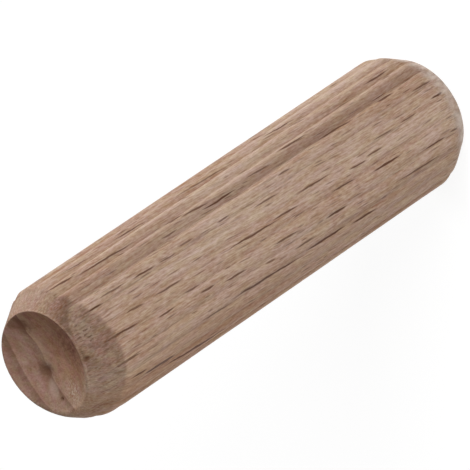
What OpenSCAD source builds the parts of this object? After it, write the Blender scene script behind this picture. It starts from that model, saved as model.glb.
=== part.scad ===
// Fluted wooden dowel pin, standing on its foot end.
// The origin is the middle of the foot end, and +Z runs along the pin to the head end.
// Sizes are in millimetres.

/* [Pin] */
// Length from the foot end to the head end
pin_len = 40; // [20:1:80]
// Diameter over the crests of the reeds
crest_d = 10.25; // [6:0.05:16]

/* [Flutes] */
// Number of flutes round the shank
flute_count = 24; // [16:1:36]
// Depth of each flute below the crests
flute_depth = 0.17; // [0.05:0.01:0.3]

/* [Ends] */
// Slope of both chamfers, measured from the axis
chamfer_angle = 29; // [15:1:40]
// Length of the chamfer at the head end
head_chamfer_len = 2.35; // [1:0.05:4]
// Length of the chamfer at the foot end
foot_chamfer_len = 2; // [1:0.05:4]
// Depth of the dish that the cutter leaves in each end
dish_depth = 1.1; // [0.1:0.05:1.4]
// Width of the flat land between dish and chamfer
land_w = 0.15; // [0.1:0.05:0.6]

/* [Hidden] */
$fn = 120;
beech_colour = "#AB8D74";

// Radius over the crests, and at the bottom of the flutes
crest_r = crest_d / 2;
valley_r = crest_r - flute_depth;

// A reed is the arc through one crest and the two valleys beside it
pitch_angle = 360 / flute_count;
valley_reach = valley_r * cos(pitch_angle / 2);
reed_r = (pow(crest_r - valley_reach, 2) + pow(valley_r * sin(pitch_angle / 2), 2))
    / (2 * (crest_r - valley_reach));
reed_centre_r = crest_r - reed_r;

// The core joins the reeds and stays below the valleys
core_r = (reed_centre_r + valley_r) / 2;

// Radius of the blank that the chamfers are cut from, clear of the crests
blank_r = crest_r + flute_depth;

// Radius of an end face, where its chamfer has run in from the crests
function face_r(chamfer_len) = crest_r - chamfer_len * tan(chamfer_angle);

// Height over which a chamfer runs out to the blank
function run_out(chamfer_len) = (blank_r - face_r(chamfer_len)) / tan(chamfer_angle);

// Radius of a dish at its rim, and of the ball that cuts it
function rim_r(chamfer_len) = face_r(chamfer_len) - land_w;
function ball_r(chamfer_len) = (pow(rim_r(chamfer_len), 2) + pow(dish_depth, 2)) / (2 * dish_depth);

// Cross-section of the rod: a ring of round reeds on a solid core
module reeded_section() {
    circle(r = core_r);
    for (i = [0 : flute_count - 1])
        rotate(i * pitch_angle)
            translate([reed_centre_r, 0])
                circle(r = reed_r);
}

// Side outline of the turned blank, with a chamfer at each end
module chamfered_blank() {
    rotate_extrude()
        polygon([
            [0, 0],
            [face_r(foot_chamfer_len), 0],
            [blank_r, run_out(foot_chamfer_len)],
            [blank_r, pin_len - run_out(head_chamfer_len)],
            [face_r(head_chamfer_len), pin_len],
            [0, pin_len]
        ]);
}

// Ball that cuts the dish in the foot end
module foot_dish() {
    translate([0, 0, dish_depth - ball_r(foot_chamfer_len)])
        sphere(r = ball_r(foot_chamfer_len));
}

// Ball that cuts the dish in the head end
module head_dish() {
    translate([0, 0, pin_len - dish_depth + ball_r(head_chamfer_len)])
        sphere(r = ball_r(head_chamfer_len));
}

module dowel_pin() {
    color(beech_colour)
        difference() {
            intersection() {
                linear_extrude(pin_len)
                    reeded_section();
                chamfered_blank();
            }
            foot_dish();
            head_dish();
        }
}

dowel_pin();
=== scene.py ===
"""Looks of a fluted beech dowel pin that stands on its foot end.

The CAD solid gives the pin its length, its diameter and its place. The operators here cut a finer pin
of the same form, with the marks that the flute rollers and the end cutter leave in real wood, give it
a beech finish and set it on a plain studio floor.
"""

import math
from functools import partial
from types import SimpleNamespace

import bpy
import numpy as np
from bpy.props import FloatProperty, FloatVectorProperty, IntProperty, PointerProperty
from bpy.types import Operator, Panel, PropertyGroup
from mathutils import Matrix, Vector


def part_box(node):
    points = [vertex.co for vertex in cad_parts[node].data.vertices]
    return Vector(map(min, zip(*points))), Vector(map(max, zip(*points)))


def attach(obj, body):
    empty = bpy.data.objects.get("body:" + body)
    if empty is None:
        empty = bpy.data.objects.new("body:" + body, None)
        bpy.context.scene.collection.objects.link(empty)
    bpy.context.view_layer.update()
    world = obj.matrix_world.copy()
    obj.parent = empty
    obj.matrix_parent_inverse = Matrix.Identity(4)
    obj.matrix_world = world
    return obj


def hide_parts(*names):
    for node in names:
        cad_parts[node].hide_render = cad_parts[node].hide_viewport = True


bl_info = {
    "name": "Fluted Dowel Pin",
    "version": (1, 0, 0),
    "blender": (4, 5, 0),
    "location": "3D View > Sidebar > Dowel Pin",
    "description": "Builds a fluted beech dowel pin and the stage that it stands on",
    "category": "Object",
}

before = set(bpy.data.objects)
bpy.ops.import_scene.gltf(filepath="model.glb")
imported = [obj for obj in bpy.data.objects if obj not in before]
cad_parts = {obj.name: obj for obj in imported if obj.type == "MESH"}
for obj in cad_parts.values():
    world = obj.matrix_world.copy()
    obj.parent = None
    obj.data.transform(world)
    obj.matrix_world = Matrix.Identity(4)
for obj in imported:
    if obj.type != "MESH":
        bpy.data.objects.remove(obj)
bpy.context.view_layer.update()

NODE = "dowel_pin"
BODY = "root"
MM = 0.001

LOW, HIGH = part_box(NODE)
PIN_LEN = HIGH.z - LOW.z
CREST_R = (HIGH.x - LOW.x) / 2


# ---------------- helpers

def linear(colour):
    """Turns an sRGB colour of three values into Blender's linear RGBA."""
    rgb = [c / 12.92 if c <= 0.04045 else ((c + 0.055) / 1.055) ** 2.4 for c in colour]
    return (*rgb, 1.0)


def add(tree, kind, *inputs, **given):
    """Adds a shader node with its settings and links.

    The kind may end with the operation. Names in lower case are settings. Inputs come in order, or by their
    capitalised name or number. Each takes a value, a socket, or a node, which stands for its first
    output in use.
    """
    kind, _, operation = kind.partition(" ")
    node = tree.nodes.new("ShaderNode" + kind)
    if operation:
        node.operation = operation
    given.update((f"_{number}", value) for number, value in enumerate(inputs))
    for name, value in given.items():
        if name[0].islower():
            setattr(node, name, value)
            continue
        socket = node.inputs[int(name[1:]) if name[0] == "_" else name.replace("_", " ")]
        if isinstance(value, bpy.types.Node):
            value = next(output for output in value.outputs if output.enabled)
        if isinstance(value, bpy.types.NodeSocket):
            tree.links.new(value, socket)
        else:
            socket.default_value = value
    return node


# Numbers that mix a place's three whole numbers, the seed and the result into a hash, and a shift that keeps
# places positive.
HASH = (73856093, 19349663, 83492791, 2654435761, 1274126177)
LATTICE_SHIFT = 1000.5


def value_noise(points, cell, seed):
    """Smooth random field from -1 to 1, with cells of the given size in mm.

    Each corner of a cubic lattice gets a random value, hashed from its whole-number place and the seed, and
    a point takes the smoothly weighted mean of its cell's eight corners.
    """
    grid = np.asarray(points, float) / (cell * MM) + LATTICE_SHIFT
    base = np.floor(grid).astype(np.int64)
    part = grid - base
    part = part * part * (3 - 2 * part)
    total = np.zeros(len(grid))
    for corner in np.ndindex(2, 2, 2):
        place = base + corner
        key = place[:, 0] * HASH[0] ^ place[:, 1] * HASH[1] ^ place[:, 2] * HASH[2] ^ seed * HASH[3]
        key = (key ^ (key >> 13)) * HASH[4]
        key = (key ^ (key >> 16)) & 0xFFFFFF
        weight = np.prod(np.where(corner, part, 1 - part), axis=1)
        total += weight * (key / 0x7FFFFF - 1)
    return total


def lobe(angle, peak, sharpness):
    """1 at one angle round the pin, less on both sides: exp(sharpness * (cos(angle - peak) - 1))."""
    return np.exp(sharpness * (np.cos(angle - math.radians(peak)) - 1))


# ---------------- the pin's sizes

def length_property(name, description, mm):
    """A length property, with its default in mm."""
    return FloatProperty(name=name, description=description, default=mm * MM, unit="LENGTH", precision=5)


class PinSizes(PropertyGroup):
    """Sizes of the pin that the CAD solid's box doesn't give."""

    flute_count: IntProperty(
        name="Flutes", description="Number of flutes pressed round the shank", default=24, min=12, max=48)
    flute_depth: length_property("Flute depth", "Mean depth of a flute below the crests", 0.23)
    flute_spread: FloatProperty(
        name="Flute spread", description="How much the flutes' depths differ, as a share of the mean",
        default=0.25, min=0, max=0.6, subtype="FACTOR")
    flute_bias: FloatProperty(
        name="Flute bias", description="How much deeper the rollers pressed on two sides, as a share",
        default=0.55, min=0, max=0.9, subtype="FACTOR")
    chamfer_angle: FloatProperty(
        name="Chamfer angle", description="Slope of both chamfers, from the axis",
        default=math.radians(29), subtype="ANGLE")
    head_chamfer: length_property("Head chamfer", "Length of the chamfer at the head end", 2.35)
    foot_chamfer: length_property("Foot chamfer", "Length of the chamfer at the foot end", 2.0)
    dish_depth: length_property("Dish depth", "Depth of the dish in each end", 1.1)
    head_land: length_property("Head land", "Width of the flat land round the head's dish", 0.07)
    foot_land: length_property("Foot land", "Width of the flat land that the pin stands on", 0.15)
    tear: length_property("Tear", "Depth of the roughness that the cutter leaves on end grain", 0.06)
    wear: length_property("Wear", "Depth of the unevenness of the shank's crests", 0.014)


# Columns to a flute, and rings of points. The land's rings are at shares of its width, the dish's first is at
# a share of its radius, and the shank's are set evenly by a share, and closer towards both ends by the rest.
COLUMNS = 20
DISH_RINGS = 34
FIRST_RING = 0.02
# Past this share of the rim's radius the dish's ball is taken as level.
DISH_LIMIT = 1.2
LAND_RINGS = (0.35, 0.7)
CONE_RINGS = 36
SHANK_RINGS = 62
SHANK_EVEN = 0.25
# Rows of the grid, which runs from the foot's dish to the head's. The lip is the head's land with the last
# rings of its cone.
CAP_RINGS = DISH_RINGS + len(LAND_RINGS)
END_RINGS = CAP_RINGS + CONE_RINGS
FOOT_CONE = slice(CAP_RINGS, END_RINGS)
ABOVE_FOOT = slice(END_RINGS, None)
HEAD = slice(-END_RINGS, None)
LIP_CONE_RINGS = 3
HEAD_LIP = slice(-CAP_RINGS - LIP_CONE_RINGS, -DISH_RINGS)

# The rims aren't quite round or central: waves round each, with the swing in mm and where it is highest.
HEAD_WAVES = ((1, 0.158, -2.0), (2, 0.110, -37.6), (3, 0.072, -49.4))
FOOT_WAVES = ((1, 0.14, 98.0), (2, 0.06, 98.0))
# How far the head's edges are rounded, in mm: where they are crisp, where they are worn, and the worn side.
RUN_OUT_ROUND = (0.06, 0.60, -168.0)
RIM_ROUND = (0.03, 0.95, -175.0)
WORN_SHARPNESS = 2.5
# The same for the foot's edges, which are even all round.
FOOT_RUN_OUT_ROUND = 0.30
FOOT_RIM_ROUND = 0.02

# The rollers pressed deepest at this angle and opposite it.
DEEP_SIDE = -40.0
FLUTE_SEED = 1133

# The cutter crossed the fibres most squarely at one angle. The painted shade on the dish's wall is strongest
# at two.
CUT_SIDE = -80.0
SHADE_SPOT_SIDE = 8.0
SHADE_WALL_SIDE = -76.0
# End grain creeps from the head's cone on to the shank: mm all round, more mm on the cut side, and how
# sharply that falls away.
CREEP = (0.07, 0.42, 8.5)
# Its edge follows the rim's waves by this share and the flutes by the rest. Two noises of the given cells in
# mm and seeds fray it, by a swing in mm, and it fades over a softness in mm.
EDGE_EVEN = 0.7
FRAY = ((0.22, 8), (0.6, 9))
FRAY_SWING = 0.10
FRAY_STRETCH = 0.3
EDGE_SOFT = 0.24
# The share of it that shows on the lip, kept low to paint a pale highlight along the rim. What it loses on
# either flank of the cut side, and with what power: on both as the cut crosses the fibres less squarely, and
# more on the first as painted light on the chamfer's shaded flank.
RIM_HIGHLIGHT_SHARE = 0.6
FLANK_LOSS_AND_LIGHT = ((0.7, 2.6), (0.5, 1.5))
# The foot's cone keeps little end grain and is painted paler, both as painted light for the light that it
# lacks where it faces the floor. Both grow over a depth in mm.
FOOT_LIT_CUT_SHARE = 0.12
FOOT_CUT_SOFT = 0.20
FOOT_LIGHT_SOFT = 0.55

# Noises that tear the end grain, make it patchy and wear the shank: cell in mm and seed.
TORN = ((0.28, 3), (0.13, 4))
PATCHY = (1.3, 5)
WEAR = (0.9, 6)
WEAR_STRETCH = (1, 1, 0.25)
# How strongly the torn and patchy noises act, the least that the patches leave, and the foot's share.
TORN_SWING = 0.45
PATCHY_SWING = (0.9, 0.15)
FOOT_TORN = 0.35
# Torn marks in the head end: place across the end, radius and depth, in mm, and how dark they are.
MARKS = ((-0.55, 1.36, 0.52, 0.22, 0.66), (3.15, 0.60, 0.62, 0.05, 0.80), (-2.64, 0.80, 0.13, 0.12, 0.95),
         (-0.58, -3.88, 0.14, 0.10, 0.95))
MARK_SHARPNESS = 1.5

# The dish's mask fades at its rim over a width in mm, and more by a multiple of the rim's rounding.
DISH_FADE = (0.02, 2.5)
# Painted shade in the head's dish. Its spot high on the wall: strength, sharpness round the pin, share of the
# radius at which it is full, and with what power it grows. Its shade on the wall: strength, sharpness, and
# the radii in mm where it starts and is full.
SHADE_SPOT = (0.50, 11.0, 0.74, 2.5)
SHADE_WALL = (0.66, 4.0, 0.8, 2.4)

# Values of the masks in the middle of the foot end and of the head end.
MIDDLES = {"end_grain": (1, 1), "dish": (0, 1), "rub": (0, 0), "worn": (0, 0)}


# ---------------- the pin's shape

def waves(angle, table):
    """Sum of cosine waves round the pin, each swing * cos(order * (angle - peak))."""
    return sum(swing * MM * np.cos(order * (angle - math.radians(peak))) for order, swing, peak in table)


def worn_patch(angle, table):
    """A length that rises smoothly from its low to its high round one angle, over about a third of a turn."""
    low, high, peak = table
    return (low + (high - low) * lobe(angle, peak, WORN_SHARPNESS)) * MM


def rounding(gap, reach):
    """What an edge's rounding takes off at a gap from the edge: (reach - gap)^2 / (4 reach) within reach."""
    return np.maximum(reach - gap, 0) ** 2 / (4 * reach)


def smooth_lower(a, b, reach):
    """Lower of two heights, rounded where they cross."""
    return np.minimum(a, b) - rounding(np.abs(a - b), reach)


def flute_depths(sizes):
    """Depth of each flute: the mean, plus a bias to two opposite sides, plus a seeded random share."""
    random = np.random.default_rng(FLUTE_SEED)
    angle = (np.arange(sizes.flute_count) + 0.5) * 2 * math.pi / sizes.flute_count
    bias = sizes.flute_bias * np.cos(2 * (angle - math.radians(DEEP_SIDE)))
    return sizes.flute_depth * (1 + bias + sizes.flute_spread * random.uniform(-1, 1, sizes.flute_count))


def rod_radius(angle, sizes):
    """Radius of the reeded rod at each angle.

    Between two flutes the surface is a round reed: its drop below the crest grows with one minus the
    cosine of the angle along the reed's own arc, and reaches the depth of the nearest flute in its valley.
    """
    pitch = 2 * math.pi / sizes.flute_count
    reach = (CREST_R - sizes.flute_depth) * math.cos(pitch / 2)
    half_chord = (CREST_R - sizes.flute_depth) * math.sin(pitch / 2)
    reed_r = ((CREST_R - reach) ** 2 + half_chord ** 2) / (2 * (CREST_R - reach))
    centre_r = CREST_R - reed_r
    off = (angle + pitch / 2) % pitch - pitch / 2
    even = centre_r * np.cos(off) + np.sqrt(reed_r ** 2 - (centre_r * np.sin(off)) ** 2)
    nearest = np.floor(angle / pitch).astype(int) % sizes.flute_count
    return CREST_R - (CREST_R - even) * flute_depths(sizes)[nearest] / sizes.flute_depth


def end_zone(angle, rod, sizes, length, land, wave_table, rim_round, run_out_round):
    """One end's rings of radius and of height over the end's plane, from near the axis to the run-out.

    The surface is the lowest of three functions of the radius r, rounded where they cross: the dish
    ball - depth - sqrt(ball^2 - r^2), the end's plane at 0, and the cone (face - r) / tan(slope). Where the
    cone meets the reeded rod, the radius drops a little more. Returns the cone's own height too.
    """
    slope = math.tan(sizes.chamfer_angle)
    face = CREST_R - length * slope + waves(angle, wave_table) + land
    rim = face - land
    dish_r = rim * np.sin(np.linspace(FIRST_RING, 1, DISH_RINGS) * math.pi / 2)[:, None]
    land_r = rim + land * np.array(LAND_RINGS)[:, None]
    cone_r = face + (rod - face) * np.linspace(0, 1, CONE_RINGS)[:, None]
    r = np.concatenate([dish_r, land_r, cone_r])
    ball = (rim ** 2 + sizes.dish_depth ** 2) / (2 * sizes.dish_depth)
    dish = ball - sizes.dish_depth - np.sqrt(ball ** 2 - np.minimum(r, rim * DISH_LIMIT) ** 2)
    cone = (face - r) / slope
    height = smooth_lower(smooth_lower(dish, np.zeros_like(r), rim_round), cone, rim_round)
    return r - rounding(np.abs(r - rod), run_out_round), height, cone


def ring_points(angle, r, z):
    """Points from their angles round the pin, radii and heights."""
    return np.stack([r * np.cos(angle), r * np.sin(angle), z], axis=-1)


def surface_slope(r, z):
    """Outward direction across the profile: the tangent along each column, turned by a right angle."""
    step_r = np.gradient(r, axis=0)
    step_z = np.gradient(z, axis=0)
    size = np.maximum(np.hypot(step_r, step_z), 1e-12)
    return step_z / size, -step_r / size


def end_grain_mask(angle, rod, r, z, slope):
    """1 where the cutter went across the fibres, 0 along the shank.

    In the foot it grows with the drop below the rod. In the head it starts at a frayed edge, which follows
    the run-out and creeps down from it, furthest on the side that was cut most squarely.
    """
    mask = np.clip((rod - r) / (FOOT_CUT_SOFT * MM), 0, 1)
    # Painted light: the foot's cone keeps only a little end grain, so it shows paler.
    mask[FOOT_CONE] *= FOOT_LIT_CUT_SHARE
    run_out = z[-END_RINGS]
    creep = (CREEP[0] + CREEP[1] * lobe(angle, CUT_SIDE, CREEP[2])) * MM
    edge = EDGE_EVEN * (run_out.mean() + waves(angle, HEAD_WAVES) / slope) + (1 - EDGE_EVEN) * run_out - creep
    spread = ring_points(angle, r, z * FRAY_STRETCH).reshape(-1, 3)
    fray = FRAY_SWING * MM * sum(value_noise(spread, *noise) for noise in FRAY).reshape(r.shape)
    mask[ABOVE_FOOT] = np.clip((z - edge + fray)[ABOVE_FOOT] / (EDGE_SOFT * MM), 0, 1)
    # Painted highlight: the lip keeps less end grain, so the rim shows a pale line.
    mask[HEAD_LIP] *= RIM_HIGHLIGHT_SHARE
    return mask


def damage(angle, r, z, end_grain, sizes):
    """Depth to which seeded noise tears the end grain and wears the shank, and the torn marks in the head.

    Each mark is a bell over its place across the end: depth * exp(-sharpness * (distance / radius)^2).
    """
    points = ring_points(angle, r, z)
    flat = points.reshape(-1, 3)
    torn = sum(value_noise(flat, *noise) for noise in TORN).reshape(r.shape) / 2
    patchy = np.clip(0.5 + PATCHY_SWING[0] * value_noise(flat, *PATCHY), PATCHY_SWING[1], 1).reshape(r.shape)
    wear = (0.5 + 0.5 * value_noise(flat * WEAR_STRETCH, *WEAR)).reshape(r.shape)
    head = np.zeros_like(r)
    head[HEAD] = 1
    depth = sizes.tear * end_grain * patchy * (1 - TORN_SWING + TORN_SWING * torn)
    depth *= FOOT_TORN + (1 - FOOT_TORN) * head
    depth += sizes.wear * (1 - end_grain) * wear
    for x, y, radius, deepest, _ in MARKS:
        away = np.hypot(points[..., 0] / MM - x, points[..., 1] / MM - y) / radius
        depth += head * deepest * MM * np.exp(-MARK_SHARPNESS * away ** 2)
    return depth


def painted_dish_shade_mask(angle, r, dish):
    """Painted shade in the head's dish: a spot high on its wall, and most of the wall on one side."""
    strength, sharpness, full, power = SHADE_SPOT
    up_wall = np.clip(r / (r[HEAD].max(axis=0) * full), 0, 1) ** power
    spot = strength * lobe(angle, SHADE_SPOT_SIDE, sharpness) * up_wall
    strength, sharpness, start, full = SHADE_WALL
    wall = strength * lobe(angle, SHADE_WALL_SIDE, sharpness) * np.clip((r / MM - start) / (full - start), 0, 1)
    return dish * (spot + wall)


def pin_grid(sizes):
    """Rings of points from the foot's dish, over land, cone and shank, to the head's dish, and their masks.

    Every point is a function of a step along the profile and of the angle. The ends come from end_zone,
    and between their run-outs the shank is the reeded rod, with rings set closer towards both ends. The
    damage then moves the points inwards, across the surface.
    """
    pitch = 2 * math.pi / sizes.flute_count
    angle = np.arange(COLUMNS * sizes.flute_count) * pitch / COLUMNS
    rod = rod_radius(angle, sizes)
    slope = math.tan(sizes.chamfer_angle)
    rim_round = worn_patch(angle, RIM_ROUND)
    head_round = worn_patch(angle, RUN_OUT_ROUND)
    foot_round = FOOT_RUN_OUT_ROUND * MM
    foot_r, foot_z, _ = end_zone(angle, rod, sizes, sizes.foot_chamfer, sizes.foot_land, FOOT_WAVES,
                                 FOOT_RIM_ROUND * MM, foot_round)
    head_r, head_z, cone_z = end_zone(angle, rod, sizes, sizes.head_chamfer, sizes.head_land, HEAD_WAVES,
                                      rim_round, head_round)
    low, high = -foot_z[-1], PIN_LEN + head_z[-1]
    step = np.linspace(0, 1, SHANK_RINGS + 2)[1:-1, None]
    step = SHANK_EVEN * step + (1 - SHANK_EVEN) * (1 - np.cos(math.pi * step)) / 2
    shank_z = low + (high - low) * step
    shank_r = rod - rounding((high - shank_z) * slope, head_round)
    shank_r = shank_r - rounding((shank_z - low) * slope, foot_round)
    r = np.concatenate([foot_r, shank_r, head_r[::-1]])
    z = np.concatenate([-foot_z, shank_z, PIN_LEN + head_z[::-1]])

    dish = np.zeros_like(r)
    dish[HEAD] = np.clip((cone_z - head_z) / (DISH_FADE[0] * MM + DISH_FADE[1] * rim_round), 0, 1)[::-1]
    # The foot's cone gets a mask of painted light, which makes its edge paler.
    worn = np.zeros_like(r)
    worn[FOOT_CONE] = np.clip((rod - r[FOOT_CONE]) / (FOOT_LIGHT_SOFT * MM), 0, 1)
    end_grain = end_grain_mask(angle, rod, r, z, slope)
    depth = damage(angle, r, z, end_grain, sizes)
    # Less end grain on the cut side's flanks: partly real, as the fibres are cut less squarely, and partly
    # painted light on the shaded flank.
    aside = np.sin(angle - math.radians(CUT_SIDE))
    one, other = (loss * np.abs(aside) ** power for loss, power in FLANK_LOSS_AND_LIGHT)
    shown = np.maximum(1 - np.where(aside < 0, one, other), dish)
    # Two of these masks are painted: shade in the head's dish, and light on the foot's edge.
    masks = {"end_grain": end_grain * shown, "dish": dish, "rub": painted_dish_shade_mask(angle, r, dish), "worn": worn}
    out_r, out_z = surface_slope(r, z)
    return angle, r - out_r * depth, z - out_z * depth, masks


def closed_mesh(name, angle, r, z):
    """Joins rings of points into a closed mesh, with one point in the middle of each end."""
    rings, columns = r.shape
    points = ring_points(angle, r, z).reshape(-1, 3)
    points = np.concatenate([points, [[0, 0, z[0].mean()], [0, 0, z[-1].mean()]]])
    ring = np.arange(rings - 1)[:, None] * columns
    here = np.arange(columns)
    after = (here + 1) % columns
    quads = np.stack([ring + here, ring + after, ring + columns + after, ring + columns + here], axis=-1)
    foot, head = rings * columns, rings * columns + 1
    last = (rings - 1) * columns
    foot_fan = np.stack([np.full(columns, foot), after, here], axis=-1)
    head_fan = np.stack([np.full(columns, head), last + here, last + after], axis=-1)
    faces = quads.reshape(-1, 4).tolist() + foot_fan.tolist() + head_fan.tolist()
    mesh = bpy.data.meshes.new(name)
    mesh.from_pydata(points.tolist(), [], faces)
    mesh.polygons.foreach_set("use_smooth", np.ones(len(faces), bool))
    mesh.update()
    return mesh


def new_object(name, mesh):
    """Links a mesh to the scene as an object at the origin."""
    piece = bpy.data.objects.new(name, mesh)
    bpy.context.scene.collection.objects.link(piece)
    return piece


# ---------------- beech

def colour_property(name, description, default):
    """A colour property, with its default as an sRGB hex value."""
    rgb = [int(default[i:i + 2], 16) / 255 for i in (1, 3, 5)]
    return FloatVectorProperty(
        name=name, description=description, subtype="COLOR", size=3, min=0, max=1, default=rgb)


class BeechLook(PropertyGroup):
    """Colours of the wood and of its painted shade and light, where a tint is multiplied into what it covers,
    and how far the grain leans.
    """

    light: colour_property("Light wood", "Colour of the palest fibres", "#D4BFAD")
    warm: colour_property("Warm wood", "Colour of the darker, warmer fibres", "#9A7052")
    rosy: colour_property("Rosy wood", "Tint of the pinker patches of fibre", "#FFFAFF")
    sandy: colour_property("Sandy wood", "Tint of the yellower patches of fibre", "#FFFEF6")
    fleck: colour_property("Ray flecks", "Colour of the rays, which show as short dark spindles", "#5F3D2A")
    end: colour_property("End grain", "Tint where the fibres are cut across", "#D1CDCD")
    dish_pink: colour_property("Dish, pink side", "Tint of the dish's outer growth", "#F5EFF4")
    dish_brown: colour_property("Dish, brown side", "Tint of the dish's inner growth", "#F1E0D4")
    dish_low: colour_property("Dish, low side", "Tint where the dish runs out", "#ECEAEE")
    cut_pink: colour_property("Cut ends, pink", "Tint of the pinker clouds of end grain", "#FFF6FA")
    cut_olive: colour_property("Cut ends, olive", "Tint of the greener clouds of end grain", "#FBFEF5")
    early: colour_property("Early growth", "Colour of the pale growth by the dish's darkest ring", "#C2A382")
    cloudy: colour_property("Dish, cloudy", "Tint of the dish's duller clouds", "#DCCBBE")
    low_side: colour_property("Warmer side", "Tint of the side with warmer growth", "#F7E9DB")
    # Painted light: this colour paints the foot's edge paler, where it lacks light facing the floor.
    worn: colour_property("Foot edge, painted light", "Colour that paints light on the foot's edge", "#EFE3D8")
    # Painted shade: this tint darkens the dish's wall where it lies in shade.
    dish_shade_tint: colour_property("Dish wall, painted shade", "Tint that paints shade on the dish's wall", "#8E665F")
    tilt: FloatProperty(
        name="Grain tilt", description="How far the grain leans from the pin's axis",
        default=math.radians(2.5), subtype="ANGLE")


# The wood's own axes run along the rings, across them and down the grain, in mm. The rings follow one another
# towards one side, and the grain leans towards the other.
RING_SIDE = -86.4
LEAN_SIDE = -170.5

# Slow noise that bends the whole pattern: scale to a mm and swing in mm along each of the wood's axes.
DRIFT = (0.11, (0.5, 0.15, 0.0))

# Noises in the wood: cell along its axes in mm, octaves and seed. Beech's fibres are 0.02 mm wide and its
# pores 0.06 mm. Both are too fine to show, so they are drawn four to six times as wide.
NOISES = {
    "broad": ((2.4, 1.5, 22.0), 1, 30.5),
    "streak": ((0.36, 0.9, 7.0), 2, 9),
    "fibre": ((0.09, 0.12, 1.7), 2, 2),
    "fine": ((0.10, 0.14, 0.45), 2, 5),
    "hue": ((0.5, 0.7, 1.6), 2, 13),
    "mottle": ((0.25, 0.3, 1.2), 3, 17),
    "cloud": ((0.75, 0.45, 3.0), 2, 31),
    "tint": ((0.6, 0.5, 2.0), 1, 41),
    "speck": ((0.16, 0.12, 0.5), 2, 51),
    "chop": ((0.20, 0.26, 0.9), 2, 61),
}
NOISE_ROUGHNESS = 0.55
# The pores: cell in mm, span of the distance from one's middle, weight of the mottle, and span of the sum.
PORE_CELL = (0.26, 0.34, 1.6)
PORE = (0.12, 0.42, 1, 0)
MOTTLE_SHARE = 0.9
PORES = (0.35, 1.35)
# Weights of the noises in the fibres' tone, span of the sum, and the share that is evened out in the dish.
TONE = {"broad": 1.0, "streak": 0.75, "fibre": 1.25, "fine": 1.5}
TONE_SPAN = (1.58, 2.92)
DISH_CALM = 0.5
# Span of the dish's mask that is its inside.
INSIDE = (0, 0.3)
# Masks read from noises, marks and places: the name of what is read, its start and stop, and what those
# become, if not 0 and 1.
READS = {
    # Fibres that are paler towards the foot, pinker in patches, and warmer on one side.
    "foot_paler": ("height", -30, 0, -0.03, 0.07),
    "pink": ("hue", 0.38, 0.62),
    "warm_side": ("along", -1.5, -4.2),
    # Late growth, which pales to one side and fades at the edge. The side with pale early growth.
    "late_pale": ("along", 0.8, -1.0, 1, 0.4),
    "late_fading": ("along", -3, -4, 1, 0.3),
    "early_side": ("along", 0.2, 1.2),
    # Wood with more open pores, and how few of them the dish has.
    "open": ("broad", 0.45, 0.6, 0.25, 0.9),
    "closed": ("dish", 0, 1, 1, 0.35),
    # End grain's colours: the dish's sides and clouds, and clouds and broken fibres all over.
    "brown_side": ("across", -1.1, 0.2),
    "dish_low": ("along", -1.2, -3.0),
    "dull": ("cloud", 0.40, 0.66, 0, 0.6),
    "olive": ("tint", 0.40, 0.60),
    "chopped": ("chop", 0.3, 0.7, 0.80, 1.22),
    # Unevenness of the painted shade on the dish's wall, of the painted light on the foot's edge, of the
    # rungs and of the torn marks.
    "rub_patchy": ("mottle", 0.3, 0.7, 0.75, 1.25),
    "worn_streaky": ("streak", 0.38, 0.62, 0.45, 1.5),
    "rungs_uneven": ("hue", 0.42, 0.55, 0.35, 1),
    "frayed": ("mottle", 0.35, 0.65, -0.35, 0.35),
    "pale_tufts": ("speck", 0.5, 0.64, 0, 0.55),
    "dark_tufts": ("speck", 0.5, 0.36, 0, 0.55),
    "roughness": ("end_grain", 0, 1, 0.62, 0.85),
}

# Ends of the years' growth across the pin, in mm, and how dark the wood is at steps round each. How deep that
# shows on the sides and where the fibres are cut across.
YEARS = (-4.6, -2.93, -1.25, 3.95)
YEAR_STEPS = ((-1.2, 0.22), (-0.62, 0.30), (-0.36, 0.70), (-0.03, 1.0), (0.06, 0.0))
YEAR_SPAN = 6.0
YEAR_START = 0.1
YEAR_DEPTH = (0.25, 0.50)
# The pale early growth beside the dish's darkest ring: where it starts and ends, and how pale it is.
EARLY = (-1.22, -0.35, 0.43)
# The rings bend round the tree's centre: mm at 1 mm along them, on the sides and in the dish.
RING_BOW = (0.0, -0.09)

# Spots in the wood: middle in the pin's axes and reach in the wood's, in mm, and the share of the reach with
# full strength. The cutter lifted the fibres into rungs at the ladder, lifted a pale flake beside the dish's
# darkest ring, and tore tufts. That ring steps aside at the jog.
LADDER = ((1.06, -4.31, 39.1), (1.05, 0.75, 0.75), 0.75)
FLAKE = ((-1.82, 1.29, 39.27), (0.85, 0.46, 1.2), 0.55)
TUFTS = ((-2.42, -0.53, 39.4), (1.15, 1.0, 1.4), 0.4)
JOG = ((1.14, 1.07, 39.0), (1.5, 1.1, 1.5), 0.35)
# The ladder's waves along and across the rings: pitch in mm, and the sines where a rung starts and is full.
# Noise bends them by this many mm.
LADDER_WAVES = ((0.27, 0.1, 0.8), (0.31, -0.7, 0.0))
LADDER_BEND = 0.25
# How far the ring steps aside, in mm, and the share of its darkness that it keeps there.
JOG_STEP = 0.30
JOG_FAINT = 0.62

# The cutter's strokes, which streak the dish's painted shade: pitch round the axis in radians, length
# outwards in mm, and span of their noise.
STROKES = (0.11, 1.1)
STROKE_SPAN = (0.35, 0.65, 0.65, 1.3)
# A torn mark's darkness falls from full to none between these shares of its radius.
MARK_FADE = (0.4, 1.5)

# Layers of scattered rays: cell, ranges of half length and half width, and softness, in mm, and seed. A third
# layer has small rays, at this strength.
RAY_LAYERS = (
    ((1.15, 12.0, 6.2), (1.3, 3.1), (0.05, 0.095), 0.025, 3.1),
    ((1.05, 11.0, 4.6), (0.8, 2.3), (0.045, 0.09), 0.025, 21.7),
)
SMALL_RAYS = ((0.45, 5.0, 2.0), (0.3, 0.9), (0.03, 0.06), 0.03, 7.7)
SMALL_SHARE = 0.7
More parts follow.
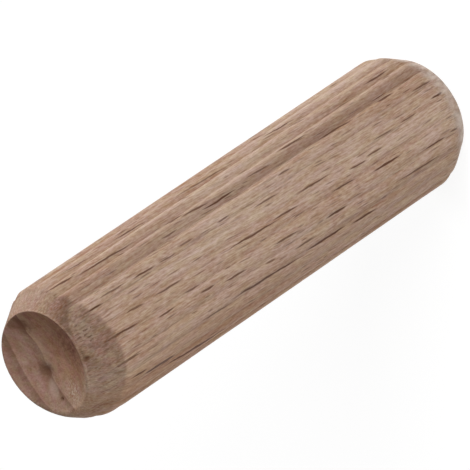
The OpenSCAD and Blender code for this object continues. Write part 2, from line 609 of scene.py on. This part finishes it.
# Spans in mm that leave few of them on the side with placed rays and on both flanks, and the span that hides
# all rays in end grain.
RAYS_FRONT = (-1, 2, 1, 0.30)
RAYS_FLANK = (3.3, 4.8, 1, 0.35)
RAYS_SHOWN = (0, 1.55, 1, 0.12)
# How freely they are scattered, their half depth as a share of the cell, how far noise moves their edges, in
# mm, where their softness starts, the faintest one's strength, and how far the dish counts as end grain.
RAY_SCATTER = 0.9
RAY_CELL_SHARE = 0.6
RAY_ROUGH = 0.10
RAY_SOFT_START = -0.4
RAY_FAINTEST = 0.35
RAY_DISH_SHARE = 0.55

# The longest rays that show on the side with most of them: height over the foot in mm, angle round the
# pin, half length in mm and strength.
RAYS = (
    (22.6, -125, 3.6, 1.02), (30.0, -147, 3.0, 1.20), (33.3, -36, 2.7, 0.86), (22.8, -88, 2.4, 0.92),
    (16.4, -126, 1.9, 1.26), (21.7, -23, 2.8, 0.67), (37.1, -93, 1.9, 0.94), (22.9, -50, 1.6, 0.99),
    (9.1, -101, 1.4, 1.07), (15.8, -82, 1.6, 0.82), (6.2, -121, 2.1, 0.86), (34.0, -138, 1.5, 1.40),
    (29.4, -24, 1.7, 0.84), (25.0, -45, 1.2, 0.90), (12.3, -130, 1.3, 1.00), (4.2, -110, 1.1, 0.94),
    (11.0, -152, 1.6, 0.68), (19.3, -88, 1.2, 0.89), (15.0, -111, 1.0, 1.10), (14.6, -44, 1.4, 0.94),
    (13.5, -96, 1.2, 0.84), (31.5, -85, 1.3, 0.86), (20.2, -105, 1.2, 0.84), (37.9, -66, 1.2, 1.00),
    (18.6, -48, 1.2, 0.72), (4.4, -36, 1.2, 0.90), (13.4, -20, 1.4, 0.86), (37.5, -31, 1.3, 0.96),
    (25.7, -107, 1.0, 0.84), (37.2, -115, 1.2, 0.86), (2.5, -66, 1.0, 0.78), (32.3, -65, 1.0, 0.88),
    (20.1, -72, 1.1, 0.75), (14.8, 5, 2.5, 0.80), (28.0, -125, 1.3, 0.75), (28.5, -103, 0.7, 0.89),
    (18.7, -118, 1.0, 0.83), (35.0, -22, 1.3, 0.68), (32.6, -100, 0.8, 0.87), (34.8, -84, 0.8, 0.77),
    (11.6, -89, 0.8, 0.91), (8.4, -41, 1.5, 0.56), (36.2, -133, 0.7, 0.90), (9.7, -88, 0.8, 0.82),
    (5.4, -81, 0.8, 0.73), (35.4, -63, 1.1, 0.70), (29.7, -96, 0.8, 0.69), (11.1, -56, 1.6, 0.97),
    (29.9, -66, 0.8, 0.67), (27.9, -64, 0.7, 0.67), (26.8, -42, 0.9, 0.88), (2.0, -79, 0.7, 1.02),
    (28.2, -51, 0.8, 0.67), (8.1, -81, 1.0, 0.71), (24.0, -65, 0.6, 0.77), (22.2, -114, 0.5, 0.79),
    (5.8, -57, 0.8, 0.93), (17.2, -61, 0.6, 0.78), (2.0, -110, 0.5, 0.77),
)
# Their half widths, at no strength and added at full strength, half depth, and how far noise bends them, in
# mm. Each reaches past its half length by a factor and fades between two shares of its size. It thins with
# the root of how squarely the side faces across the rings, which counts as at least this share.
RAY_WIDTH = (0.030, 0.055)
RAY_DEPTH = 0.8
RAY_WAVE = 0.22
RAY_REACH = 1.15
RAY_FADE = (0.65, 1.1)
RAY_LEAST_FACING = 0.15
# Their middles lie on the crests or the cones: heights where those start, in mm, and their slope.
CONES = (2.0, 37.65, 0.55)

# Height of each mask in the relief, as a share of the whole, which is in mm.
RELIEF = {"fibre": 0.5, "streak": 0.5, "rays": -0.5, "pores": -0.8, "rungs": -1.2}
RELIEF_DEPTH = 0.035
# Bare wood has less gloss than the usual 0.5.
GLOSS = 0.25

# Ways in which a Mix node lays one colour on another.
BLEND = {"data_type": "RGBA"}
TINT = {"data_type": "RGBA", "blend_type": "MULTIPLY"}


def grain_turn(look):
    """Turn from the pin's axes to the wood's."""
    lean = Vector((math.cos(math.radians(LEAN_SIDE)), math.sin(math.radians(LEAN_SIDE)), 0))
    grain = (Vector((0, 0, -1)) + lean * math.tan(look.tilt)).normalized()
    across = Vector((math.cos(math.radians(RING_SIDE)), math.sin(math.radians(RING_SIDE)), 0))
    across = (across - grain * across.dot(grain)).normalized()
    along = across.cross(grain)
    return Matrix((along, across, grain)).to_euler()


def far_from(m, place, centre, reach):
    """Distance from a centre over the reach along each axis, so that it is 1 on the ellipsoid they make."""
    away = m.add("VectorMath MULTIPLY_ADD", place, [1 / size for size in reach],
                 [-c / size for c, size in zip(centre, reach)])
    return m.add("VectorMath LENGTH", away)


def soft_spot(m, wood, middle, reach, core):
    """Mask that falls from 1 to 0 between a share of the reach and the whole reach round a place."""
    far = far_from(m, wood, m.to_wood @ Vector(middle), reach)
    return m.add("MapRange", far, core, 1, 1, 0)


def toward(m, side):
    """How far each place lies towards one side of the pin, in mm."""
    turn = math.radians(side)
    return m.add("VectorMath DOT_PRODUCT", m.place, (math.cos(turn) / MM, math.sin(turn) / MM, 0))


def ray_layer(m, cell, half_length, half_width, soft, seed):
    """Scattered thin sheets of ray tissue: mask from 0 to 1 of the nearest lens.

    In each cell of a 3-D Voronoi pattern there is one lens about its centre. Its half width along the rings
    is w * (1 - (g / length)^2 - (d / depth)^2), at g along the grain and d across the rings, and the w, the
    length and the strength are random.
    """
    shift = m.add("VectorMath ADD", m.wood, (seed, seed * 1.7, seed * 2.3))
    spread = m.add("VectorMath DIVIDE", shift, cell)
    cells = m.add("TexVoronoi", spread, Scale=1, Randomness=RAY_SCATTER)
    away = m.add("VectorMath SUBTRACT", spread, cells.outputs["Position"])
    away = m.add("VectorMath MULTIPLY", away, cell)
    away = m.add("SeparateXYZ", away)
    chance = m.add("SeparateColor", cells.outputs["Color"])
    length = m.add("MapRange", chance.outputs[0], 0, 1, *half_length)
    width = m.add("MapRange", chance.outputs[1], 0, 1, *half_width)
    bulge = 1.0
    for axis, size in ((2, length), (1, cell[1] * RAY_CELL_SHARE)):
        share = m.add("Math DIVIDE", away.outputs[axis], size)
        share = m.add("Math MULTIPLY", share, share)
        bulge = m.add("Math SUBTRACT", bulge, share)
    side = m.add("Math MULTIPLY_ADD", m.fibre, RAY_ROUGH, -RAY_ROUGH / 2)
    side = m.add("Math ADD", side, away.outputs[0])
    side = m.add("Math ABSOLUTE", side)
    lens = m.add("Math MULTIPLY", bulge, width)
    lens = m.add("Math SUBTRACT", lens, side)
    mask = m.add("MapRange", lens, RAY_SOFT_START * soft, soft)
    strength = m.add("MapRange", chance.outputs[2], 0, 1, RAY_FAINTEST)
    return m.add("Math MULTIPLY", mask, strength)


def placed_rays(m):
    """Mask of the rays in the table, whose strengths it gives.

    Each is an ellipsoid about its middle, bent by noise along the rings. Towards the flanks, where a ray is
    seen from its broad side, it is thinner.
    """
    bend = m.add("Math MULTIPLY_ADD", m.hue, RAY_WAVE, -RAY_WAVE / 2)
    bend = m.add("CombineXYZ", bend)
    wood = m.add("VectorMath ADD", m.turned, bend)
    foot, head, slope = CONES
    mask = 0.0
    for height, side, half_length, strength in RAYS:
        angle = math.radians(side)
        r = CREST_R / MM - max(0, height - head, foot - height) * slope
        middle = m.to_wood @ Vector((r * math.cos(angle), r * math.sin(angle), height))
        facing = math.sqrt(max(RAY_LEAST_FACING, abs(math.cos(angle - math.radians(RING_SIDE)))))
        half_width = (RAY_WIDTH[0] + RAY_WIDTH[1] * strength) * facing
        far = far_from(m, wood, middle, (half_width, RAY_DEPTH, RAY_REACH * half_length))
        lens = m.add("MapRange", far, *RAY_FADE, strength, 0)
        mask = m.add("Math MAXIMUM", lens, mask)
    return mask


def ray_mask(m):
    """Mask of all rays: the placed ones, and scattered ones where there are none. End grain hides them."""
    rays = 0.0
    for layer in RAY_LAYERS:
        rays = m.add("Math MAXIMUM", ray_layer(m, *layer), rays)
    front = m.add("MapRange", toward(m, CUT_SIDE), *RAYS_FRONT)
    flank = m.add("Math ABSOLUTE", toward(m, RING_SIDE + 90))
    flank = m.add("MapRange", flank, *RAYS_FLANK)
    for share in (front, flank):
        rays = m.add("Math MULTIPLY", rays, share)
    small = m.add("Math MULTIPLY", ray_layer(m, *SMALL_RAYS), SMALL_SHARE)
    for more in (placed_rays(m), small):
        rays = m.add("Math MAXIMUM", rays, more)
    hidden = m.add("Math MULTIPLY_ADD", m.dish, RAY_DISH_SHARE, m.end_grain)
    shown = m.add("MapRange", hidden, *RAYS_SHOWN)
    return m.add("Math MULTIPLY", rays, shown)


def ring_places(m):
    """Places along and across the bowed rings from the head's middle, and the mask of their jog."""
    head = m.to_wood @ Vector((0, 0, PIN_LEN / MM))
    split = m.add("VectorMath SUBTRACT", m.wood, (head.x, head.y, 0))
    along, across, _ = m.add("SeparateXYZ", split).outputs
    bow = m.add("Math MULTIPLY", along, along)
    bend = m.add("MapRange", m.inside, 0, 1, *RING_BOW)
    across = m.add("Math MULTIPLY_ADD", bow, bend, across)
    jog = soft_spot(m, m.wood, *JOG)
    return along, m.add("Math MULTIPLY_ADD", jog, -JOG_STEP, across), jog


def beech_masks(tree, look):
    """What the wood's colours are made from, by name: places, noises, marks, and masks read from them."""
    turn = grain_turn(look)
    m = SimpleNamespace(add=partial(add, tree), to_wood=turn.to_matrix())
    m.place = m.add("TexCoord").outputs["Object"]
    m.turned = m.add("Mapping", m.place, Rotation=turn, Scale=(1 / MM, 1 / MM, 1 / MM))
    scale, swing = DRIFT
    drift = m.add("TexNoise", m.turned, Scale=scale, Detail=1).outputs["Color"]
    drift = m.add("VectorMath SUBTRACT", drift, (0.5, 0.5, 0.5))
    drift = m.add("VectorMath MULTIPLY", drift, swing)
    m.wood = m.add("VectorMath ADD", m.turned, drift)
    m.height = m.add("SeparateXYZ", m.wood).outputs[2]
    for name, (cell, octaves, seed) in NOISES.items():
        spread = m.add("VectorMath DIVIDE", m.wood, cell)
        spread = m.add("VectorMath ADD", spread, (seed, seed * 1.3, seed * 0.7))
        noise = m.add("TexNoise", spread, Scale=1, Detail=octaves, Roughness=NOISE_ROUGHNESS)
        setattr(m, name, noise)
    for name in MIDDLES:
        setattr(m, name, m.add("Attribute", attribute_name=name).outputs["Fac"])
    m.inside = m.add("MapRange", m.dish, *INSIDE)
    m.along, m.across, m.jog = ring_places(m)
    for name, (source, *row) in READS.items():
        setattr(m, name, m.add("MapRange", getattr(m, source), *row))
    return m


def grain_colour(m, c):
    """Colour of the fibres: light and warm by the sum of the noises, then pinker or yellower in patches."""
    tone = m.foot_paler
    for name, weight in TONE.items():
        tone = m.add("Math MULTIPLY_ADD", getattr(m, name), weight, tone)
    tone = m.add("MapRange", tone, *TONE_SPAN)
    calm = m.add("Math MULTIPLY", m.dish, DISH_CALM)
    tone = m.add("Mix", calm, _2=tone, _3=0.5)
    colour = m.add("Mix", tone, **BLEND, _6=c.warm, _7=c.light)
    hue = m.add("Mix", m.pink, **BLEND, _6=c.sandy, _7=c.rosy)
    return m.add("Mix", 1, **TINT, _6=colour, _7=hue)


def late_growth(m):
    """Mask of the dark late growth at the end of each year, deeper where the fibres are cut across."""
    late = m.add("MapRange", m.across, -YEAR_SPAN, YEAR_SPAN)
    late = m.add("ValToRGB", late)
    ramp = late.color_ramp
    ramp.elements.remove(ramp.elements[1])
    ramp.elements[0].color = (YEAR_START, YEAR_START, YEAR_START, 1)
    for end in YEARS:
        for step, shade in YEAR_STEPS:
            stop = ramp.elements.new((end + step + YEAR_SPAN) / (2 * YEAR_SPAN))
            stop.color = (shade, shade, shade, 1)
    cut = m.add("Math MAXIMUM", m.end_grain, m.inside)
    depth = m.add("MapRange", cut, 0, 1, *YEAR_DEPTH)
    pale = m.add("Math MULTIPLY", m.late_pale, m.late_fading)
    pale = m.add("Math MAXIMUM", pale, m.inside)
    faint = m.add("MapRange", m.jog, 0, 1, 1, JOG_FAINT)
    for share in (depth, pale, faint):
        late = m.add("Math MULTIPLY", late, share)
    return late


def early_growth(m):
    """Mask of the pale early growth beside the dish's darkest ring."""
    start, stop, strength = EARLY
    early = m.add("MapRange", m.across, start, stop, strength, 0)
    after = m.add("Math GREATER_THAN", m.across, start)
    for share in (after, m.early_side, m.dish):
        early = m.add("Math MULTIPLY", early, share)
    return early


def open_pores(m):
    """Mask of the pores that show as dark dots and blots where the fibres are cut across."""
    pores = m.add("VectorMath DIVIDE", m.wood, PORE_CELL)
    pores = m.add("TexVoronoi", pores, Scale=1)
    pores = m.add("MapRange", pores, *PORE)
    for share in (m.open, m.closed):
        pores = m.add("Math MULTIPLY", pores, share)
    pores = m.add("Math MULTIPLY_ADD", m.mottle, MOTTLE_SHARE, pores)
    pores = m.add("MapRange", pores, *PORES)
    return m.add("Math MULTIPLY", pores, m.end_grain)


def cut_tint(m, c):
    """What the colour of end grain is multiplied by: one colour in the cone, and several in the dish."""
    cut = m.add("Mix", m.brown_side, **BLEND, _6=c.dish_pink, _7=c.dish_brown)
    cut = m.add("Mix", m.dish_low, **BLEND, _6=cut, _7=c.dish_low)
    cut = m.add("Mix", m.dull, **TINT, _6=cut, _7=c.cloudy)
    cut = m.add("Mix", m.dish, **BLEND, _6=c.end, _7=cut)
    tint = m.add("Mix", m.olive, **BLEND, _6=c.cut_pink, _7=c.cut_olive)
    chopped = m.add("Mix", m.dish, _2=m.chopped, _3=1)
    for shade in (tint, chopped):
        cut = m.add("Mix", 1, **TINT, _6=cut, _7=shade)
    return cut


def painted_dish_shade(m):
    """Mask of the painted shade on the dish's wall, patchy, with strokes that fan out from the axis.

    The strokes are noise of the angle and, much slower, of the distance from the axis.
    """
    pitch, length = STROKES
    x, y, _ = m.add("SeparateXYZ", m.place).outputs
    angle = m.add("Math ARCTAN2", y, x)
    angle = m.add("Math DIVIDE", angle, pitch)
    far = far_from(m, m.place, (0, 0, 0), (length * MM, length * MM, math.inf))
    strokes = m.add("CombineXYZ", angle, far)
    strokes = m.add("TexNoise", strokes, Scale=1, Detail=2)
    strokes = m.add("MapRange", strokes, *STROKE_SPAN)
    rub = m.add("Math MULTIPLY", m.rub, m.rub_patchy)
    return m.add("Math MULTIPLY", rub, strokes, use_clamp=True)


def torn_marks(m):
    """Mask of the torn marks in the head end, which fall off with the frayed distance over the radius."""
    mask = 0.0
    for x, y, radius, _, shade in MARKS:
        far = far_from(m, m.place, (x * MM, y * MM, 0), (radius * MM, radius * MM, math.inf))
        far = m.add("Math ADD", far, m.frayed)
        spot = m.add("MapRange", far, *MARK_FADE, shade, 0)
        mask = m.add("Math MAXIMUM", spot, mask)
    z = m.add("SeparateXYZ", m.place).outputs[2]
    head = m.add("Math GREATER_THAN", z, PIN_LEN / 2)
    return m.add("Math MULTIPLY", mask, head)


def ladder_patch(m):
    """Masks of the patch where the cutter lifted the fibres, and of the dark rungs across it.

    A rung is where the sine of the place along the rings is high. It is broken into columns where the sine
    of the place across them is low. Noise bends both.
    """
    patch = soft_spot(m, m.turned, *LADDER)
    away = m.add("VectorMath SUBTRACT", m.turned, m.to_wood @ Vector(LADDER[0]))
    away = m.add("SeparateXYZ", away)
    bent = m.add("Math MULTIPLY_ADD", m.mottle, LADDER_BEND, -LADDER_BEND / 2)
    rungs = m.add("Math MULTIPLY", m.rungs_uneven, patch)
    for place, (pitch, start, full) in zip(away.outputs, LADDER_WAVES):
        wave = m.add("Math ADD", place, bent)
        wave = m.add("Math MULTIPLY", wave, 2 * math.pi / pitch)
        wave = m.add("Math SINE", wave)
        wave = m.add("MapRange", wave, start, full)
        rungs = m.add("Math MULTIPLY", rungs, wave)
    return patch, rungs


def beech_material(look):
    """Beech, machined and left bare: dry, pale and slightly pink, with almost no shine.

    On the sides the rays end as short dark spindles among fine streaks of fibre. Where the cutter went
    across the fibres the open pores make it darker, greyer and rougher, and the years' growth shows. Here c
    holds the colours and m what they are made from.
    """
    material = bpy.data.materials.new("beech_bare_machined")
    material.use_nodes = True
    tree = material.node_tree
    tree.nodes.clear()
    c = SimpleNamespace()
    for prop in look.bl_rna.properties:
        if prop.subtype == "COLOR":
            setattr(c, prop.identifier, linear(getattr(look, prop.identifier)))
    m = beech_masks(tree, look)
    m.rays = ray_mask(m)
    m.pores = open_pores(m)
    m.ladder, m.rungs = ladder_patch(m)
    warm_side = m.add("Math SUBTRACT", m.warm_side, m.end_grain, use_clamp=True)
    # Painted light on the foot's edge, made streaky.
    worn = m.add("Math MULTIPLY", m.worn, m.worn_streaky)
    tufts = soft_spot(m, m.wood, *TUFTS)
    # Layers in the order in which they are laid: the way, the mask, its strength and the colour.
    layers = (
        (TINT, warm_side, 1, c.low_side),
        (BLEND, late_growth(m), 1, c.fleck),
        (BLEND, m.rays, 1, c.fleck),
        (TINT, m.end_grain, 1, cut_tint(m, c)),
        (BLEND, m.pores, 0.55, c.fleck),
        # Painted shade: the dish's wall is darkened where it lies in shade.
        (TINT, painted_dish_shade(m), 1, c.dish_shade_tint),
        # Painted light: the foot's edge is mixed towards a pale colour.
        (BLEND, worn, 0.42, c.worn),
        (BLEND, early_growth(m), 1, c.early),
        (BLEND, torn_marks(m), 1, c.fleck),
        (BLEND, soft_spot(m, m.wood, *FLAKE), 0.30, c.light),
        (BLEND, m.pale_tufts, tufts, c.light),
        (BLEND, m.dark_tufts, tufts, c.warm),
        (BLEND, m.ladder, 0.10, c.light),
        (BLEND, m.rungs, 0.6, c.fleck),
    )
    colour = grain_colour(m, c)
    for way, mask, strength, paint in layers:
        share = m.add("Math MULTIPLY", mask, strength)
        colour = m.add("Mix", share, **way, _6=colour, _7=paint)

    height = 0.0
    for name, weight in RELIEF.items():
        height = m.add("Math MULTIPLY_ADD", getattr(m, name), weight, height)
    relief = m.add("Bump", Height=height, Distance=RELIEF_DEPTH * MM, Strength=1)
    shader = m.add("BsdfPrincipled", Base_Color=colour, Roughness=m.roughness, Specular_IOR_Level=GLOSS,
                 Normal=relief)
    m.add("OutputMaterial", Surface=shader)
    return material


# ---------------- the pin's operator

class DOWEL_OT_pin(Operator):
    """Build the fluted pin in place of the plain CAD solid"""

    bl_idname = "dowel.pin"
    bl_label = "Build pin"

    def execute(self, context):
        angle, r, z, masks = pin_grid(context.scene.dowel_sizes)
        mesh = closed_mesh("fluted_pin", angle, r, z)
        for name, values in masks.items():
            mark = mesh.attributes.new(name, "FLOAT", "POINT")
            mark.data.foreach_set("value", np.append(values.ravel(), MIDDLES[name]))
        piece = new_object("fluted_pin", mesh)
        piece.data.materials.append(beech_material(context.scene.dowel_beech))
        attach(piece, BODY)
        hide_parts(NODE)
        return {"FINISHED"}


# ---------------- stage

class StageLook(PropertyGroup):
    """Camera and lamps."""

    azimuth: FloatProperty(
        name="Azimuth", description="Turn of the camera round the pin", default=math.radians(8.3),
        subtype="ANGLE")
    elevation: FloatProperty(
        name="Elevation", description="Height of the camera over the floor", default=math.radians(39.25),
        subtype="ANGLE")
    roll: FloatProperty(
        name="Roll", description="Turn of the picture, so that the foot points to its upper right",
        default=math.radians(-124.2), subtype="ANGLE")
    distance: FloatProperty(
        name="Distance", description="From the camera to the middle of the pin", default=563 * MM,
        unit="LENGTH")
    px_per_mm: FloatProperty(
        name="Scale", description="Picture points to a millimetre at the middle of the pin", default=14.57)
    lamp_level: FloatProperty(
        name="Lamp level", description="Multiplies the power of every lamp", default=1.0)


# Points and mm across the picture and the sensor, how far the pin's middle lies to the right of the picture's
# and below it, in points, and the nearest and farthest that the camera sees, in m.
IMAGE_PX = 470
SENSOR_MM = 36
OFF_MIDDLE = (0.97, 1.34)
CLIP = (0.01, 10)

# Soft lamps: name, direction round the pin, height angle, distance and side in m, and its light on a
# white card that faces it, where 1 is full white.
LAMPS = (
    ("lamp_left", 31.0, 13.0, 0.9, 0.36, 0.60),
    ("lamp_key", -54.0, 31.0, 0.9, 0.46, 0.63),
    ("lamp_right", -150.5, 15.0, 0.9, 0.40, 0.27),
    ("lamp_top", 100.0, 76.0, 0.9, 0.50, 0.05),
)
# The world's light on the pin. The floor's half side in m, its grey, and the glow's share and strength.
WORLD_LEVEL = 0.04
FLOOR_HALF = 0.6
FLOOR_GREY = 0.8
FLOOR_GLOW = 0.75
GLOW_STRENGTH = 1.2
WHITE = (1, 1, 1, 1)


def camera_axes(stage):
    """Right, up and backward directions of the rolled camera."""
    back = Vector((0, -math.cos(stage.elevation), math.sin(stage.elevation)))
    right = Vector((1, 0, 0))
    up = back.cross(right)
    turn = Matrix.Rotation(stage.azimuth, 3, "Z")
    spin = Matrix.Rotation(stage.roll, 3, turn @ back)
    return spin @ (turn @ right), spin @ (turn @ up), turn @ back


def seen_rays(tree):
    """1 for rays that the eye follows: from the camera, off gloss or through glass."""
    path = add(tree, "LightPath")
    seen = 0.0
    for kind in ("Camera", "Glossy", "Transmission"):
        seen = add(tree, "Math MAXIMUM", seen, path.outputs[f"Is {kind} Ray"])
    return seen


def floor_material():
    """White paper sweep: plain matt white that shows the pin's own soft shadow."""
    paint = bpy.data.materials.new("paper_white_matt")
    paint.use_nodes = True
    tree = paint.node_tree
    tree.nodes.clear()
    matt = add(tree, "BsdfDiffuse", Color=(FLOOR_GREY, FLOOR_GREY, FLOOR_GREY, 1))
    glow = add(tree, "Emission", Color=WHITE, Strength=GLOW_STRENGTH)
    share = add(tree, "Math MULTIPLY", seen_rays(tree), FLOOR_GLOW)
    mix = add(tree, "MixShader", share, matt, glow)
    add(tree, "OutputMaterial", Surface=mix)
    return paint


def studio_world():
    """Even, dim light from all sides, which the eye sees as white."""
    world = bpy.data.worlds.new("studio")
    world.use_nodes = True
    tree = world.node_tree
    tree.nodes.clear()
    level = add(tree, "MapRange", seen_rays(tree), 0, 1, WORLD_LEVEL, 1)
    sky = add(tree, "Background", Color=WHITE, Strength=level)
    add(tree, "OutputWorld", Surface=sky)
    return world


class DOWEL_OT_stage(Operator):
    """Set up the floor, the lamps and the camera"""

    bl_idname = "dowel.stage"
    bl_label = "Set stage"

    def execute(self, context):
        scene = context.scene
        stage = scene.dowel_stage
        right, up, back = camera_axes(stage)
        middle = Vector((0, 0, PIN_LEN / 2))
        aside, down = (points / stage.px_per_mm * MM for points in OFF_MIDDLE)
        aim = middle - right * aside + up * down
        data = bpy.data.cameras.new("camera")
        data.sensor_width = SENSOR_MM
        data.lens = stage.px_per_mm * stage.distance / MM * SENSOR_MM / IMAGE_PX
        data.clip_start, data.clip_end = CLIP
        camera = bpy.data.objects.new("camera", data)
        scene.collection.objects.link(camera)
        basis = Matrix((right, up, back)).transposed().to_4x4()
        camera.matrix_world = Matrix.Translation(aim + back * stage.distance) @ basis
        scene.camera = camera

        for name, side, height, distance, size, level in LAMPS:
            lamp = bpy.data.lights.new(name, "AREA")
            lamp.shape = "SQUARE"
            lamp.size = size
            lamp.energy = level * stage.lamp_level * math.pi ** 2 * distance ** 2
            turn, lift = math.radians(side), math.radians(height)
            away = Vector((math.cos(turn) * math.cos(lift), math.sin(turn) * math.cos(lift), math.sin(lift)))
            holder = bpy.data.objects.new(name, lamp)
            holder.location = middle + away * distance
            holder.rotation_euler = away.to_track_quat("Z", "Y").to_euler()
            scene.collection.objects.link(holder)

        floor = bpy.data.meshes.new("floor")
        corners = [(x * FLOOR_HALF, y * FLOOR_HALF, 0) for x, y in ((-1, -1), (1, -1), (1, 1), (-1, 1))]
        floor.from_pydata(corners, [], [(0, 1, 2, 3)])
        ground = new_object("floor", floor)
        ground.data.materials.append(floor_material())
        scene.world = studio_world()
        scene.view_settings.view_transform = "Standard"
        return {"FINISHED"}


# ---------------- panel and registration

class DOWEL_PT_panel(Panel):
    """Sidebar panel with the sizes, the colours and the build buttons"""

    bl_label = "Dowel Pin"
    bl_idname = "DOWEL_PT_panel"
    bl_space_type = "VIEW_3D"
    bl_region_type = "UI"
    bl_category = "Dowel Pin"

    def draw(self, context):
        scene = context.scene
        for group in (scene.dowel_sizes, scene.dowel_beech, scene.dowel_stage):
            box = self.layout.box()
            for name in group.bl_rna.properties.keys():
                if name not in ("rna_type", "name"):
                    box.prop(group, name)
        for operator in (DOWEL_OT_pin, DOWEL_OT_stage):
            self.layout.operator(operator.bl_idname)


CLASSES = (PinSizes, BeechLook, StageLook, DOWEL_OT_pin, DOWEL_OT_stage, DOWEL_PT_panel)


def register():
    for cls in CLASSES:
        bpy.utils.register_class(cls)
    bpy.types.Scene.dowel_sizes = PointerProperty(type=PinSizes)
    bpy.types.Scene.dowel_beech = PointerProperty(type=BeechLook)
    bpy.types.Scene.dowel_stage = PointerProperty(type=StageLook)


def unregister():
    del bpy.types.Scene.dowel_stage
    del bpy.types.Scene.dowel_beech
    del bpy.types.Scene.dowel_sizes
    for cls in reversed(CLASSES):
        bpy.utils.unregister_class(cls)


def main():
    """Registers the add-on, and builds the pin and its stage."""
    register()
    bpy.ops.dowel.pin()
    bpy.ops.dowel.stage()


if __name__ == "__main__":
    main()
